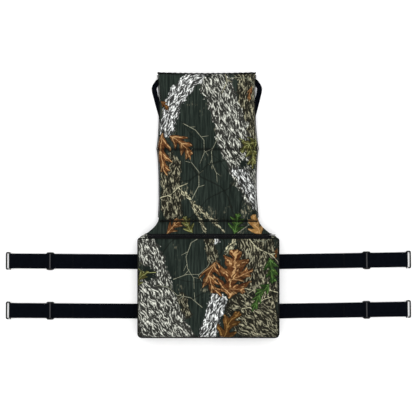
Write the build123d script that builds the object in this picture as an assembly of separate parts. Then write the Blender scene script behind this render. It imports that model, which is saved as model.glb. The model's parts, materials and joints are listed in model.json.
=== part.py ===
from build123d import *
from math import asin, atan2, cos, degrees, hypot, radians, sin, tan
import os

# A padded seat and backrest for a climbing tree stand, laid out flat on the ground.
# +Y runs from the seat's front edge to the top of the backrest, +X is the side where the seat's zip
# closes, and +Z is up. The origin is on the ground under the middle of the whole outline.
# All sizes are millimetres.

# Driving dimensions
SEAT_WIDTH = 457.0
SEAT_THICKNESS = 60.0
SEAT_FRONT_Y = -430.0
SEAT_REAR_Y = -96.0
CREASE_Y = 179.0
BACK_TOP_Y = 430.0
BACK_THICKNESS = 30.0
BACK_WIDTH = 333.0
WEB_WIDTH = 47.0
WEB_THICKNESS = 1.5

# Fabric and foam
FABRIC = 1.2
FOAM_GAP = 0.2
WELT = 2.5
SEAT_BOTTOM_Z = WEB_THICKNESS + 0.1
SEAT_TOP_Z = SEAT_BOTTOM_Z + SEAT_THICKNESS
BACK_BOTTOM_Z = WEB_THICKNESS + 0.2
BACK_TOP_Z = BACK_BOTTOM_Z + BACK_THICKNESS

# Seat outline: the rear corners are drawn in
SEAT_HALF = SEAT_WIDTH / 2 - WELT
SEAT_REAR_HALF = 204.0
REAR_CORNER_DRAW = 15.0
SEAT_CORNER_R = 12.0
WELT_END_X = 219.0

# The rear top edge is bevelled, and the zip lies on the bevel
BEVEL_RUN = 12.0
BEVEL_DROP = 15.0
BEVEL_LENGTH = hypot(BEVEL_RUN, BEVEL_DROP)
ZIP_LEFT_X = -196.0
ZIP_RIGHT_X = 203.0
ZIP_TAPE_WIDTH = 8.0
ZIP_COIL_HALF = 1.2

# Backrest: sewn lines are flat and wide, the stuffed panels between them pull in
PANEL_PULL_IN = 8.0
TOP_PULL_IN = 6.5
SEAM_FLANGE = 9.5
SEAM_THICKNESS = 1.5
HINGE_GAP = 0.6
FLAP_START_Y = SEAT_REAR_Y + 1.0
FLAP_END_Y = -54.5
FLAP_START_Z = SEAT_TOP_Z - BEVEL_DROP - 1.6
FLAP_SEAT_WIDTH = 403.0
PANEL_SHOULDER_R = 11.0

# Straps: they lean a little towards the back of the sheet as they run out
STRAP_ROW_Y = {"rear": -187.5, "front": -349.5}
STRAP_LEAN_DEG = {"right": 0.95, "left": 0.35}
STRAP_START = 3.2
STRAP_RISE_START = 60.0
STRAP_RISE_END = 200.0
STRAP_MID_Z = 4.15
LAYER_GAP = 0.1
TAIL_START = 212.0
LOOP_APEX = 396.0
LOOP_STITCH = 3.0
SLIDER_AT = 289.5
HOOK_BAR_AT = 420.5

# Wire hook and slider
HOOK_WIRE_R = 2.25
HOOK_LENGTH = 58.0
HOOK_BAR_SPACING = 12.5
HOOK_MOUTH = 3.0
HOOK_CORNER_R = 3.2
WIRE_CLEARANCE = 0.2
SLIDER_LENGTH = 27.0
SLIDER_WIDTH = 58.0
SLIDER_BAR = 4.4
SLIDER_BAR_THICKNESS = 2.2
SLIDER_CLEARANCE = 0.3


def save(name, shape):
    """Write one sub-part, as its solids, to its own STEP file."""
    solids = shape.solids()
    kept = solids[0] if len(solids) == 1 else Compound(children=solids)
    export_step(kept, f"parts/{name}.step")


def block(x0, x1, y0, y1, z0, z1):
    """A plain box between two corners."""
    middle = ((x0 + x1) / 2, (y0 + y1) / 2, (z0 + z1) / 2)
    return Pos(*middle) * Box(x1 - x0, y1 - y0, z1 - z0)


def slab(outline, z0, z1):
    """A sketch on the ground plane, raised to a slab from z0 to z1."""
    return extrude(Pos(0, 0, z0) * outline, z1 - z0)


# Seat cushion

def seat_outline(grow):
    """The seat's plan outline, grown or shrunk all round."""
    corner_y = SEAT_REAR_Y - REAR_CORNER_DRAW
    points = [
        (-SEAT_HALF, SEAT_FRONT_Y + WELT),
        (SEAT_HALF, SEAT_FRONT_Y + WELT),
        (SEAT_HALF, corner_y),
        (SEAT_REAR_HALF, SEAT_REAR_Y),
        (-SEAT_REAR_HALF, SEAT_REAR_Y),
        (-SEAT_HALF, corner_y),
    ]
    plain = make_face(Polyline(*points, close=True))
    rounded = fillet(plain.vertices(), SEAT_CORNER_R)
    return offset(rounded, grow) if grow else rounded


def rear_bevel_cut(inset):
    """The wedge that is taken off the seat's rear top edge, moved inwards by inset."""
    drop = BEVEL_DROP * BEVEL_LENGTH / BEVEL_RUN
    normal_y = BEVEL_DROP / BEVEL_LENGTH * inset
    normal_z = BEVEL_RUN / BEVEL_LENGTH * inset
    top_y = SEAT_REAR_Y - BEVEL_RUN - normal_y
    low_z = SEAT_TOP_Z - BEVEL_DROP - normal_z
    slope = BEVEL_DROP / BEVEL_RUN
    profile = Polyline(
        (top_y - drop, SEAT_TOP_Z - normal_z + slope * drop),
        (SEAT_REAR_Y - normal_y + drop, low_z - slope * drop),
        (SEAT_REAR_Y + 3 * drop, SEAT_TOP_Z + 3 * drop),
        close=True,
    )
    return extrude(Plane.YZ * make_face(profile), SEAT_WIDTH, both=True)


def seat_block(inset):
    """The cushion's body, inset all round from the cover's outside."""
    body = slab(seat_outline(-inset), SEAT_BOTTOM_Z + inset, SEAT_TOP_Z - inset)
    return body - rear_bevel_cut(inset)


def make_seat():
    shell = seat_block(0) - seat_block(FABRIC)
    wide = SEAT_WIDTH
    inner_top = SEAT_TOP_Z - FABRIC
    inner_bottom = SEAT_BOTTOM_Z + FABRIC
    above = block(-wide, wide, -2 * wide, wide, inner_top, inner_top + 2 * wide)
    below = block(-wide, wide, -2 * wide, wide, inner_bottom - 2 * wide, inner_bottom)
    save("seat_top_panel", shell & above)
    save("seat_bottom_panel", shell & below)
    save("seat_boxing", shell - above - below)
    save("seat_foam", seat_block(FABRIC + FOAM_GAP))


def welt_ring(z0, z1):
    """The corded seam round the cushion's edge."""
    return slab(seat_outline(WELT) - seat_outline(0), z0, z1)


def make_welts():
    # The top welt stops either side of the zip, clear of the zip's pull.
    behind = block(-WELT_END_X, WELT_END_X, SEAT_REAR_Y - 20, 0, 0, 100)
    top_ring = welt_ring(SEAT_TOP_Z - WELT, SEAT_TOP_Z) - behind
    save("seat_top_welt", top_ring)
    save("seat_bottom_welt", welt_ring(SEAT_BOTTOM_Z, SEAT_BOTTOM_Z + WELT))


# Zip on the rear bevel. Its plane has local x along the zip and local z out of the cushion.
ZIP_PLANE = Plane(
    origin=(0, SEAT_REAR_Y - BEVEL_RUN / 2, SEAT_TOP_Z - BEVEL_DROP / 2),
    x_dir=(1, 0, 0),
    z_dir=(0, BEVEL_DROP, BEVEL_RUN),
)
ZIP_SLIDER_X = 195.0
ZIP_SLIDER_HALF = 5.0
PULL_AXIS_Z = 4.9
PULL_LENGTH = 21.0


def on_zip(shape):
    """A shape drawn at the zip's own origin, placed on the bevel."""
    return ZIP_PLANE.location * shape


def make_zip():
    inner = ZIP_COIL_HALF + 0.1
    outer = inner + ZIP_TAPE_WIDTH
    upper = block(ZIP_LEFT_X, ZIP_RIGHT_X, -outer, -inner, 0.1, 0.9)
    lower = block(ZIP_LEFT_X, ZIP_RIGHT_X, inner, outer, 0.1, 0.9)
    coil = block(ZIP_LEFT_X + 6, ZIP_RIGHT_X - 2.9, -ZIP_COIL_HALF, ZIP_COIL_HALF, 0.1, 2.2)
    left_stop = block(ZIP_LEFT_X + 2, ZIP_LEFT_X + 5, -2.4, 2.4, 1.0, 2.6)
    right_stop = block(ZIP_RIGHT_X - 2.5, ZIP_RIGHT_X - 0.2, -2.4, 2.4, 1.0, 2.6)
    save("zip_tape_seat_side", on_zip(upper))
    save("zip_tape_back_side", on_zip(lower))
    save("zip_coil", on_zip(coil))
    save("zip_end_stops", on_zip(left_stop + right_stop))


def make_zip_slider():
    """The slider straddles the coil, and the pull's eye hangs under its arch."""
    half = ZIP_SLIDER_HALF
    plate = block(-half, half, -3.4, 3.4, 2.6, 3.8)
    walls = block(-half, half, 1.7, 3.4, 1.2, 2.6) + block(-half, half, -3.4, -1.7, 1.2, 2.6)
    arch = block(-3.5, 3.5, -1, 1, 3.8, 7.0) - block(-2.4, 2.4, -1, 1, 3.8, 6.0)
    save("zip_slider", on_zip(Pos(ZIP_SLIDER_X, 0, 0) * (plate + walls + arch)))
    eye_bar = Pos(0, 0, PULL_AXIS_Z) * Rot(90, 0, 0) * Cylinder(0.7, 5.2)
    rails = block(0, 6, 1.6, 2.6, 4.4, 5.4) + block(0, 6, -2.6, -1.6, 4.4, 5.4)
    tab_plan = Pos(5 + (PULL_LENGTH - 5) / 2, 0, 4.4) * RectangleRounded(PULL_LENGTH - 5, 5.2, 2)
    pull = eye_bar + rails + extrude(tab_plan, 1.0)
    save("zip_pull", on_zip(Pos(ZIP_SLIDER_X, 0, 0) * pull))


# Backrest

def panel_outline(low_y, high_y, low_half, high_half, pull_in, grow):
    """A back panel's plan outline: its sides pull in between its two sewn lines."""
    waist_y = (low_y + high_y) / 2
    waist = (low_half + high_half) / 2 - pull_in
    right = ThreePointArc((low_half, low_y), (waist, waist_y), (high_half, high_y))
    left = ThreePointArc((-high_half, high_y), (-waist, waist_y), (-low_half, low_y))
    top = Line((high_half, high_y), (-high_half, high_y))
    bottom = Line((-low_half, low_y), (low_half, low_y))
    plain = make_face([bottom, right, top, left])
    return offset(plain, grow) if grow else plain


def make_back_panel(name, low_y, high_y, low_half, high_half):
    """One stuffed section: a front cover over a foam slab, closed by a flat rear cover."""
    shape = (low_y, high_y, low_half, high_half, PANEL_PULL_IN)
    body = slab(panel_outline(*shape, 0), BACK_BOTTOM_Z, BACK_TOP_Z)
    top_edges = body.edges().group_by(Axis.Z)[-1]
    body = fillet(top_edges, PANEL_SHOULDER_R)
    rear_z = BACK_BOTTOM_Z + FABRIC
    foam_top = BACK_TOP_Z - FABRIC - FOAM_GAP
    hollow = slab(panel_outline(*shape, -FABRIC), 0, BACK_TOP_Z - FABRIC)
    hollow = fillet(hollow.edges().group_by(Axis.Z)[-1], PANEL_SHOULDER_R - FABRIC)
    foam = slab(panel_outline(*shape, -FABRIC - FOAM_GAP), rear_z + FOAM_GAP, foam_top)
    foam = fillet(foam.edges().group_by(Axis.Z)[-1], PANEL_SHOULDER_R - FABRIC)
    above_rear = block(-500, 500, -500, 500, rear_z, 100)
    save(f"{name}_front_cover", (body - hollow) & above_rear)
    save(f"{name}_rear_cover", slab(panel_outline(*shape, 0), BACK_BOTTOM_Z, rear_z))
    save(f"{name}_foam", foam)


def make_backrest():
    half = BACK_WIDTH / 2
    make_back_panel("back_lower", FLAP_END_Y + 1, CREASE_Y - SEAM_FLANGE, half - 1, half)
    make_back_panel("back_upper", CREASE_Y + SEAM_FLANGE, BACK_TOP_Y - 3, half, half - TOP_PULL_IN)


def make_seam_strips():
    """The sewn line across the backrest, as the half on each side of the fold."""
    half = BACK_WIDTH / 2 + 0.5
    top = BACK_BOTTOM_Z + SEAM_THICKNESS
    lower = block(-half, half, CREASE_Y - SEAM_FLANGE, CREASE_Y - HINGE_GAP, BACK_BOTTOM_Z, top)
    upper = block(-half, half, CREASE_Y + HINGE_GAP, CREASE_Y + SEAM_FLANGE, BACK_BOTTOM_Z, top)
    save("crease_seam_lower", lower)
    save("crease_seam_upper", upper)


def make_top_binding():
    half = BACK_WIDTH / 2 - TOP_PULL_IN + 0.5
    middle_z = (BACK_BOTTOM_Z + BACK_TOP_Z) / 2
    binding = block(-half, half, BACK_TOP_Y - 3, BACK_TOP_Y, middle_z - 12, middle_z + 4)
    save("top_binding", binding)


def make_flap():
    """The gathered flap that widens from the backrest to the seat's rear edge."""
    low_half = FLAP_SEAT_WIDTH / 2
    high_half = BACK_WIDTH / 2 - 1
    end_z = BACK_BOTTOM_Z + SEAM_THICKNESS
    rise = FLAP_START_Z - end_z
    run = FLAP_END_Y - FLAP_START_Y
    slope = Plane(origin=(0, FLAP_START_Y, FLAP_START_Z), x_dir=(1, 0, 0), z_dir=(0, rise, run))
    length = hypot(run, rise)
    waist = (0.62 * high_half + 0.38 * low_half, length / 2)
    right = ThreePointArc((low_half, 0), waist, (high_half, length))
    left = ThreePointArc((-high_half, length), (-waist[0], waist[1]), (-low_half, 0))
    top = Line((high_half, length), (-high_half, length))
    bottom = Line((-low_half, 0), (low_half, 0))
    plan = make_face([bottom, right, top, left])
    save("back_flap", extrude(slope * plan, FABRIC))


# Carry webbing on the rear of the backrest: a band across, turned at each side to run down and in
CARRY_LOW_Y = 394.0
CARRY_HIGH_Y = 413.0
CARRY_BAND_HALF = 150.0
CARRY_HIGH_X = 159.0
CARRY_WINDOW_X = 164.0
CARRY_CORNER = (180.0, 381.0)
CARRY_TURN_DEG = 15.5
CARRY_ANCHOR_Y = CREASE_Y + 14
CARRY_BOTTOM_Z = 0.1


def make_carry_webbing():
    z0 = CARRY_BOTTOM_Z
    z1 = z0 + WEB_THICKNESS
    half = CARRY_BAND_HALF
    save("carry_band", block(-half, half, CARRY_LOW_Y, CARRY_HIGH_Y, z0, z1))
    lean = tan(radians(CARRY_TURN_DEG))
    inner_end_x = CARRY_WINDOW_X - lean * (CARRY_LOW_Y - CARRY_ANCHOR_Y)
    outer_end_x = CARRY_CORNER[0] - lean * (CARRY_CORNER[1] - CARRY_ANCHOR_Y)
    points = [
        (half + 0.1, CARRY_LOW_Y),
        (CARRY_WINDOW_X, CARRY_LOW_Y),
        (inner_end_x, CARRY_ANCHOR_Y),
        (outer_end_x, CARRY_ANCHOR_Y),
        CARRY_CORNER,
        (CARRY_HIGH_X, CARRY_HIGH_Y),
        (half + 0.1, CARRY_HIGH_Y),
    ]
    leg = slab(make_face(Polyline(*points, close=True)), z0, z1)
    save("right_carry_strap", leg)
    save("left_carry_strap", mirror(leg, Plane.YZ))


# Side straps. Each is drawn along local +x from the seat's edge, then placed on its side.

def strap_place(side, row):
    turn = STRAP_LEAN_DEG[side]
    x = SEAT_WIDTH / 2
    if side == "left":
        turn = 180 - turn
        x = -x
    return Location((x, STRAP_ROW_Y[row], 0), (0, 0, turn))


def strap_loop_hole():
    """The teardrop space inside the loop that the hook's bar turns in, seen from the side."""
    r = HOOK_WIRE_R + WIRE_CLEARANCE
    apex_x = LOOP_APEX + LOOP_STITCH
    touch = asin(r / (HOOK_BAR_AT - apex_x))
    x = HOOK_BAR_AT - r * sin(touch)
    z = r * cos(touch)
    upper = (x, STRAP_MID_Z + z)
    lower = (x, STRAP_MID_Z - z)
    apex = (apex_x, STRAP_MID_Z)
    round_end = ThreePointArc(upper, (HOOK_BAR_AT + r, STRAP_MID_Z), lower)
    return make_face([Line(apex, upper), round_end, Line(lower, apex)])


def strap_profile():
    """The webbing's side view: out from the seat, round the hook's bar and back as a tail."""
    half_gap = LAYER_GAP / 2
    top = STRAP_MID_Z + half_gap + WEB_THICKNESS
    bottom = STRAP_MID_Z - half_gap - WEB_THICKNESS
    r = HOOK_WIRE_R + WIRE_CLEARANCE + WEB_THICKNESS
    lean = atan2(r - (top - STRAP_MID_Z), HOOK_BAR_AT - LOOP_APEX)
    x = HOOK_BAR_AT - r * sin(lean)
    upper = (x, STRAP_MID_Z + r * cos(lean))
    lower = (x, STRAP_MID_Z - r * cos(lean))
    under = STRAP_MID_Z + half_gap
    outline = [
        Line((STRAP_START, 0), (STRAP_START, WEB_THICKNESS)),
        Line((STRAP_START, WEB_THICKNESS), (STRAP_RISE_START, WEB_THICKNESS)),
        Line((STRAP_RISE_START, WEB_THICKNESS), (STRAP_RISE_END, top)),
        Line((STRAP_RISE_END, top), (LOOP_APEX, top)),
        Line((LOOP_APEX, top), upper),
        ThreePointArc(upper, (HOOK_BAR_AT + r, STRAP_MID_Z), lower),
        Line(lower, (LOOP_APEX, bottom)),
        Line((LOOP_APEX, bottom), (TAIL_START, bottom)),
        Line((TAIL_START, bottom), (TAIL_START, STRAP_MID_Z - half_gap)),
        Line((TAIL_START, STRAP_MID_Z - half_gap), (LOOP_APEX, STRAP_MID_Z - half_gap)),
        Line((LOOP_APEX, STRAP_MID_Z - half_gap), (LOOP_APEX, under)),
        Line((LOOP_APEX, under), (STRAP_RISE_END, under)),
        Line((STRAP_RISE_END, under), (STRAP_RISE_START, 0)),
        Line((STRAP_RISE_START, 0), (STRAP_START, 0)),
    ]
    return make_face(outline) - strap_loop_hole()


def strap_webbing():
    return extrude(Plane.XZ * strap_profile(), WEB_WIDTH / 2, both=True)


def slider_frame():
    """A bowed slide buckle: both end bars pass under the webbing, the side arms arch over."""
    low = STRAP_MID_Z - LAYER_GAP / 2 - WEB_THICKNESS - SLIDER_CLEARANCE - SLIDER_BAR_THICKNESS
    high = STRAP_MID_Z + LAYER_GAP / 2 + WEB_THICKNESS + SLIDER_CLEARANCE + SLIDER_BAR_THICKNESS
    half = SLIDER_LENGTH / 2
    arm = (SLIDER_WIDTH - WEB_WIDTH - 1.4) / 2
    outer_arc = ThreePointArc((-half, low), (0, high), (half, low))
    inner_half = half - SLIDER_BAR
    inner_top = high - SLIDER_BAR_THICKNESS
    inner_arc = ThreePointArc((inner_half, low), (0, inner_top), (-inner_half, low))
    right_foot = Line((half, low), (inner_half, low))
    left_foot = Line((-inner_half, low), (-half, low))
    side = make_face([outer_arc, right_foot, inner_arc, left_foot])
    arms = extrude(Plane.XZ * side, SLIDER_WIDTH / 2, both=True)
    between = SLIDER_WIDTH / 2 - arm
    arms -= block(-half, half, -between, between, -1, 20)
    for end in (-1, 1):
        x0, x1 = sorted((end * half, end * (half - SLIDER_BAR)))
        arms += block(x0, x1, -between, between, low, low + SLIDER_BAR_THICKNESS)
    trim = extrude(RectangleRounded(SLIDER_LENGTH, SLIDER_WIDTH, 7), 20)
    return Pos(SLIDER_AT, 0, 0) * (arms & trim)


def slider_bar():
    """The slider's centre bar, which crosses over the webbing between the two arms."""
    low = STRAP_MID_Z + LAYER_GAP / 2 + WEB_THICKNESS + SLIDER_CLEARANCE
    between = (WEB_WIDTH + 1.4) / 2
    bar = block(-SLIDER_BAR / 2, SLIDER_BAR / 2, -between, between, low, low + SLIDER_BAR_THICKNESS)
    long_edges = bar.edges().filter_by(Axis.Y)
    return Pos(SLIDER_AT, 0, 0) * fillet(long_edges, 0.9)


def hook_wire(side):
    """A bent wire hook: a bar in the webbing's loop, round to an outer bar with a short open lip."""
    mouth = 1 if side == "left" else -1
    far = -mouth * (HOOK_LENGTH / 2 - HOOK_WIRE_R)
    near = mouth * (HOOK_LENGTH / 2 - HOOK_WIRE_R)
    lip = HOOK_WIRE_R + HOOK_MOUTH
    path = FilletPolyline(
        (0, mouth * (HOOK_LENGTH / 2 - 0.5)),
        (0, far),
        (HOOK_BAR_SPACING, far),
        (HOOK_BAR_SPACING, near),
        (lip, near),
        radius=HOOK_CORNER_R,
    )
    start = Plane(origin=path @ 0, z_dir=path % 0)
    wire = sweep(start * Circle(HOOK_WIRE_R), path=path)
    drop = degrees(asin((STRAP_MID_Z - HOOK_WIRE_R - 0.1) / HOOK_BAR_SPACING))
    return Pos(HOOK_BAR_AT, 0, STRAP_MID_Z) * Rot(0, drop, 0) * wire


def make_side_straps():
    for side in ("left", "right"):
        for row in STRAP_ROW_Y:
            place = strap_place(side, row)
            name = f"{side}_{row}"
            save(f"{name}_strap", place * strap_webbing())
            save(f"{name}_slider", place * slider_frame())
            save(f"{name}_slider_bar", place * slider_bar())
            save(f"{name}_hook", place * hook_wire(side))


def make_cross_straps():
    """The webbing that runs across under the seat, between a pair of side straps."""
    half = SEAT_WIDTH / 2 + STRAP_START - 0.4
    for row, y in STRAP_ROW_Y.items():
        band = block(-half, half, y - WEB_WIDTH / 2, y + WEB_WIDTH / 2, 0, WEB_THICKNESS)
        save(f"{row}_cross_strap", band)


os.makedirs("parts", exist_ok=True)
make_seat()
make_welts()
make_zip()
make_zip_slider()
make_backrest()
make_seam_strips()
make_top_binding()
make_flap()
make_carry_webbing()
make_side_straps()
make_cross_straps()
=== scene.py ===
import json
import math
import random

import bmesh
import bpy
import numpy as np
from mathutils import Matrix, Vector, noise


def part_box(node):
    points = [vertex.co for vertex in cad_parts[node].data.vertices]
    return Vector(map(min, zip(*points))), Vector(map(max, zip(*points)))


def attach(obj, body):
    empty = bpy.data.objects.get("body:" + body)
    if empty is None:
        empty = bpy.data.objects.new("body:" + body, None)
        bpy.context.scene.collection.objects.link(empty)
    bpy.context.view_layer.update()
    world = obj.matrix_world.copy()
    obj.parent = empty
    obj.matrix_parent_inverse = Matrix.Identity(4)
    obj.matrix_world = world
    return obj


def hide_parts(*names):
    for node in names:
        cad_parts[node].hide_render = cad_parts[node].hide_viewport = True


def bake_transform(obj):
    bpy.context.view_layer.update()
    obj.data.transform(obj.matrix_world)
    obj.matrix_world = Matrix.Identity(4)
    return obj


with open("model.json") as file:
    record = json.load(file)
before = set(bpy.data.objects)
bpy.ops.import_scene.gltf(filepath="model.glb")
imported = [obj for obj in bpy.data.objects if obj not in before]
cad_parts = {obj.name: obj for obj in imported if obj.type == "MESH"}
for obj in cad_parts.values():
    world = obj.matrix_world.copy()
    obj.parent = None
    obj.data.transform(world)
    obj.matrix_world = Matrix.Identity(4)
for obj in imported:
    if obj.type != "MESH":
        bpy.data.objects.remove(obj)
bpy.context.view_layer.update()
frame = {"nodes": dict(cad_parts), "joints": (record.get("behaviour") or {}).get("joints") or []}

MM = 0.001
SIDES = ("left", "right")
ROWS = ("rear", "front")


# ---------------------------------------------------------------- stage, lights and camera

def new_object(name, data):
    made = bpy.data.objects.new(name, data)
    bpy.context.scene.collection.objects.link(made)
    return made


def camera():
    """Straight above the object, with the top of the backrest towards the top of the picture."""
    data = bpy.data.cameras.new("camera")
    data.lens = 79.2
    data.sensor_width = 36
    data.clip_end = 50
    cam = new_object("camera", data)
    cam.location = (-0.0013, -0.0117, 3.0)
    bpy.context.scene.camera = cam


def area_light(name, at, size, power):
    data = bpy.data.lights.new(name, "AREA")
    data.shape = "SQUARE"
    data.size = size
    data.energy = power
    lamp = new_object(name, data)
    lamp.location = at
    lamp.rotation_euler = (-Vector(at)).to_track_quat("-Z", "Y").to_euler()


def stage():
    bpy.ops.mesh.primitive_plane_add(size=12, location=(0, 0, -0.0006))
    floor = bpy.context.object
    floor.name = "floor"
    mat, _, _ = new_material("floor", {"Base Color": rgb(0.93, 0.93, 0.93), "Roughness": 0.9,
                                       "Emission Color": rgb(1, 1, 1), "Emission Strength": 0.12})
    floor.data.materials.append(mat)
    world = bpy.data.worlds.new("studio")
    world.use_nodes = True
    world.node_tree.nodes["Background"].inputs["Color"].default_value = (1, 1, 1, 1)
    world.node_tree.nodes["Background"].inputs["Strength"].default_value = 0.95
    bpy.context.scene.world = world
    area_light("light_top", (0.3, 0.9, 2.6), 2.4, 18)
    area_light("light_left", (-2.2, 0.6, 1.8), 1.6, 11)
    area_light("light_right", (2.0, -0.8, 1.9), 1.6, 8)
    bpy.context.scene.view_settings.view_transform = "Standard"


# ---------------------------------------------------------------- node helpers

class Graph:
    """Short calls for building a node tree. A value may be a number, a tuple or another node's socket."""

    def __init__(self, tree):
        self.tree = tree

    def node(self, kind, **settings):
        made = self.tree.nodes.new(kind)
        for key, value in settings.items():
            setattr(made, key, value)
        return made

    def feed(self, socket, value):
        if isinstance(value, bpy.types.NodeSocket):
            self.tree.links.new(value, socket)
        elif value is not None:
            socket.default_value = value

    def math(self, operation, *values, clamp=False):
        made = self.node("ShaderNodeMath", operation=operation, use_clamp=clamp)
        for socket, value in zip(made.inputs, values):
            self.feed(socket, value)
        return made.outputs[0]

    def vector(self, operation, *values):
        made = self.node("ShaderNodeVectorMath", operation=operation)
        for socket, value in zip(made.inputs, values):
            self.feed(socket, value)
        scalar = operation in ("LENGTH", "DOT_PRODUCT", "DISTANCE")
        return made.outputs["Value" if scalar else "Vector"]

    def scaled(self, vec, factor):
        made = self.node("ShaderNodeVectorMath", operation="SCALE")
        self.feed(made.inputs[0], vec)
        self.feed(made.inputs["Scale"], factor)
        return made.outputs["Vector"]

    def step(self, value, low, high, to_low=0.0, to_high=1.0):
        """A smooth step: to_low where value is under low, to_high where it is over high."""
        made = self.node("ShaderNodeMapRange", interpolation_type="SMOOTHSTEP")
        for socket, item in zip(made.inputs, (value, low, high, to_low, to_high)):
            self.feed(socket, item)
        return made.outputs[0]

    def noise(self, vec, scale, detail=3.0, rough=0.55):
        made = self.node("ShaderNodeTexNoise")
        self.feed(made.inputs["Vector"], vec)
        self.feed(made.inputs["Scale"], scale)
        made.inputs["Detail"].default_value = detail
        made.inputs["Roughness"].default_value = rough
        return made.outputs["Fac"]

    def times(self, one, other, clamp=False):
        return self.math("MULTIPLY", one, other, clamp=clamp)

    def plus(self, one, other, clamp=False):
        return self.math("ADD", one, other, clamp=clamp)

    def minus(self, one, other):
        return self.math("SUBTRACT", one, other)

    def bump(self, height, strength, distance=0.0003):
        made = self.node("ShaderNodeBump")
        made.inputs["Strength"].default_value = strength
        made.inputs["Distance"].default_value = distance
        self.feed(made.inputs["Height"], height)
        return made.outputs["Normal"]

    def mix(self, share, under, over):
        made = self.node("ShaderNodeMix", data_type="RGBA")
        for name, value in (("Factor_Float", share), ("A_Color", under), ("B_Color", over)):
            socket = next(s for s in made.inputs if s.identifier == name)
            self.feed(socket, value)
        return next(s for s in made.outputs if s.identifier == "Result_Color")

    def split(self, vec):
        made = self.node("ShaderNodeSeparateXYZ")
        self.feed(made.inputs[0], vec)
        return made.outputs[0], made.outputs[1]

    def join(self, x, y, z=0.0):
        made = self.node("ShaderNodeCombineXYZ")
        for socket, value in zip(made.inputs, (x, y, z)):
            self.feed(socket, value)
        return made.outputs[0]

    def group(self, tree, **values):
        made = self.node("ShaderNodeGroup", node_tree=tree)
        for name, value in values.items():
            self.feed(made.inputs[name], value)
        return made

    def cloth_at(self):
        """Where a point lies on the flat cloth, in metres, as the piece's mesh says."""
        return self.node("ShaderNodeAttribute", attribute_name="cloth_at").outputs["Vector"]


def new_group(name, inputs, outputs):
    """An empty node group. inputs and outputs map a socket's name to its type."""
    tree = bpy.data.node_groups.new(name, "ShaderNodeTree")
    for label, kind in inputs.items():
        tree.interface.new_socket(label, in_out="INPUT", socket_type="NodeSocket" + kind)
    for label, kind in outputs.items():
        tree.interface.new_socket(label, in_out="OUTPUT", socket_type="NodeSocket" + kind)
    graph = Graph(tree)
    given = graph.node("NodeGroupInput").outputs
    result = graph.node("NodeGroupOutput").inputs
    return tree, graph, given, result


def new_material(name, settings):
    """A new material with its graph and shader. settings holds the shader's plain values."""
    mat = bpy.data.materials.new(name)
    mat.use_nodes = True
    shader = mat.node_tree.nodes["Principled BSDF"]
    for label, value in settings.items():
        shader.inputs[label].default_value = value
    return mat, Graph(mat.node_tree), shader


def rgb(red, green, blue):
    return (red, green, blue, 1.0)


# ---------------------------------------------------------------- camouflage print

GROUND = rgb(0.0080, 0.0125, 0.0102)
GROUND_LIGHT = rgb(0.027, 0.037, 0.030)
WHITE_BARK = rgb(0.68, 0.70, 0.68)
GREY_BARK = rgb(0.56, 0.57, 0.50)
OLIVE_BARK = rgb(0.29, 0.275, 0.185)
TWIG = rgb(0.24, 0.25, 0.18)
PALE_BRANCH = rgb(0.46, 0.44, 0.29)
RUST = rgb(0.075, 0.024, 0.008)
RUST_LIGHT = rgb(0.62, 0.38, 0.17)
OCHRE = rgb(0.065, 0.030, 0.008)
OCHRE_LIGHT = rgb(0.32, 0.18, 0.055)
LEAF_GREEN = rgb(0.018, 0.050, 0.012)
LEAF_GREEN_LIGHT = rgb(0.12, 0.24, 0.06)
OLIVE_LEAF = rgb(0.045, 0.052, 0.012)
OLIVE_LEAF_LIGHT = rgb(0.38, 0.40, 0.16)


SEGMENT = {"Point": "Vector", "Start": "Vector", "Along": "Vector", "Across": "Vector", "Length": "Float"}


def segment_inputs(start, end):
    """A straight segment's values for the groups below: its start, its two directions and its length."""
    span = Vector(end) - Vector(start)
    along = span.normalized()
    return {"Start": (*start, 0), "Along": (along.x, along.y, 0), "Across": (-along.y, along.x, 0),
            "Length": span.length}


def segment_parts(graph, given):
    """A point's distance from a straight segment, with its place along and across it."""
    from_start = graph.vector("SUBTRACT", given["Point"], given["Start"])
    along = graph.vector("DOT_PRODUCT", from_start, given["Along"])
    across = graph.vector("DOT_PRODUCT", from_start, given["Across"])
    held = graph.math("MINIMUM", graph.math("MAXIMUM", along, 0.0), given["Length"])
    past = graph.minus(along, held)
    return graph.vector("LENGTH", graph.join(past, across)), along, across


def twig_group():
    """How far a point is outside one straight twig, which thins towards its far end."""
    inputs = dict(SEGMENT, Width="Float", Taper="Float")
    tree, graph, given, result = new_group("twig", inputs, {"Gap": "Float"})
    distance, along, _ = segment_parts(graph, given)
    thinner = graph.times(along, given["Taper"])
    width = graph.minus(given["Width"], thinner)
    graph.feed(result["Gap"], graph.minus(distance, width))
    return tree


def lay_twigs(graph, at, below, gap, tint):
    """Lays all the twigs of one colour over the colour below them, each with a dark edge."""
    tone = graph.step(graph.noise(at, 260.0, 2.0, 0.6), 0.35, 0.65, 0.55, 1.3)
    shade = graph.step(gap, 0.0, 0.0022, 0.75, 0.0)
    shaded = graph.mix(shade, below, rgb(0.004, 0.006, 0.005))
    lit = graph.step(gap, -0.0003, 0.0005, 1.0, 0.0)
    return graph.mix(lit, shaded, graph.scaled(tint[:3], tone))


def flecks(graph, along, across, turn_deg, scale, stretch):
    """Noise drawn out into flecks that run along a limb, turned a little to one side."""
    turn = math.radians(turn_deg)
    run = graph.math("MULTIPLY_ADD", across, math.sin(turn), graph.times(along, math.cos(turn)))
    off = graph.math("MULTIPLY_ADD", along, -math.sin(turn), graph.times(across, math.cos(turn)))
    place = graph.join(graph.times(run, stretch), off, turn)
    return graph.noise(place, scale, 2.0, 0.6)


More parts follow.
